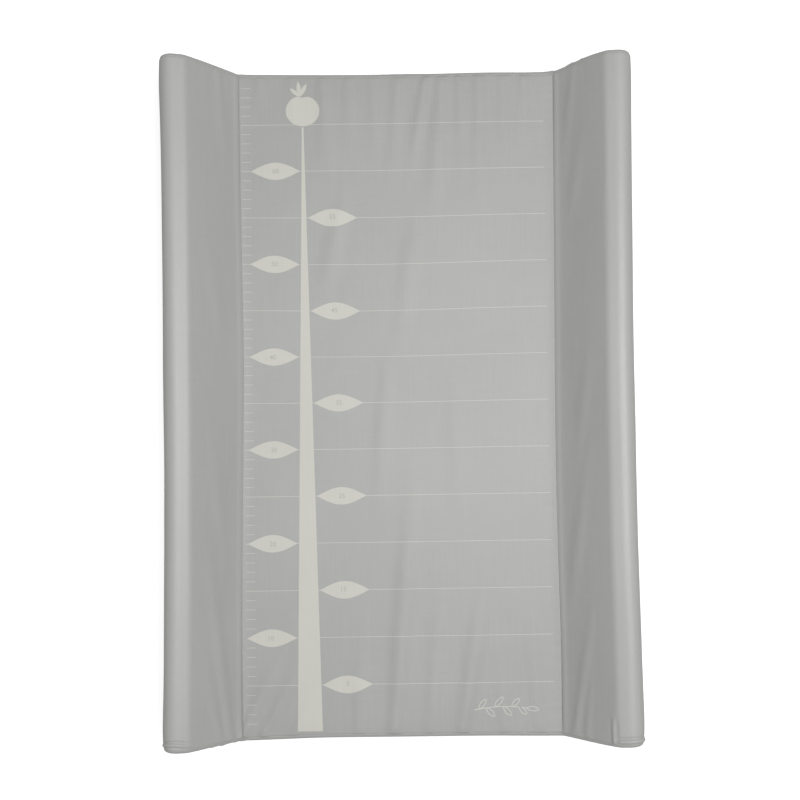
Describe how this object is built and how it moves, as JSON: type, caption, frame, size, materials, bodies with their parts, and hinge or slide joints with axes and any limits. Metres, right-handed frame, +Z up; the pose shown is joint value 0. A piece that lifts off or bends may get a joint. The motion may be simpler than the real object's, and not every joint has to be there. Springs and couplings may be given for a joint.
{
  "type": "baby changing pad",
  "caption": "Baby changing pad: foam core in a sewn, zipped cover, with a flat printed panel between two raised wedge-shaped side bolsters.",
  "frame": {"origin": "centre of the underside, on the ground under the middle of the pad", "axes": "+X to the right bolster, +Y to the head end where the zip is, +Z up"},
  "size_m": [0.488, 0.7124, 0.1],
  "materials": {
    "foam": "open-cell polyurethane foam, matte",
    "printed_fabric": "grey coated cotton with a fine weave and a pale print, soft satin",
    "cover_fabric": "grey coated cotton with a fine weave, soft satin",
    "base_fabric": "plain grey lining cloth, matte",
    "zip_tape": "woven twill tape, matte",
    "zip_coil": "grey nylon coil, slight gloss",
    "zip_metal": "plated die-cast metal, satin",
    "label": "blank white satin ribbon"
  },
  "bodies": {
    "pad": {"foam_base_slab": "foam", "foam_left_wedge": "foam", "foam_right_wedge": "foam", "cover_top_panel": "printed_fabric", "cover_left_bolster_panel": "cover_fabric", "cover_right_bolster_panel": "cover_fabric", "cover_foot_end_panel": "cover_fabric", "cover_head_end_panel": "cover_fabric", "cover_head_lower_strip": "cover_fabric", "cover_base_panel": "base_fabric", "zip_upper_tape": "zip_tape", "zip_lower_tape": "zip_tape", "zip_upper_coil": "zip_coil", "zip_lower_coil": "zip_coil", "zip_top_stops": "zip_metal", "zip_bottom_stop": "zip_metal", "care_label": "label"},
    "slider": {"zip_slider_body": "zip_metal", "zip_slider_bridge": "zip_metal"},
    "pull": {"zip_pull": "zip_metal"}
  },
  "joints": [
    {"name": "zip_slider_slide", "type": "slide", "parent": "pad", "child": "slider", "axis": [1, 0, 0], "range_m": [0, 0.38]},
    {"name": "zip_pull_swing", "type": "hinge", "parent": "slider", "child": "pull", "pos_m": [-0.2, 0.3535, 0.021], "axis": [0, 0, 1], "range_deg": [0, 160]}
  ]
}
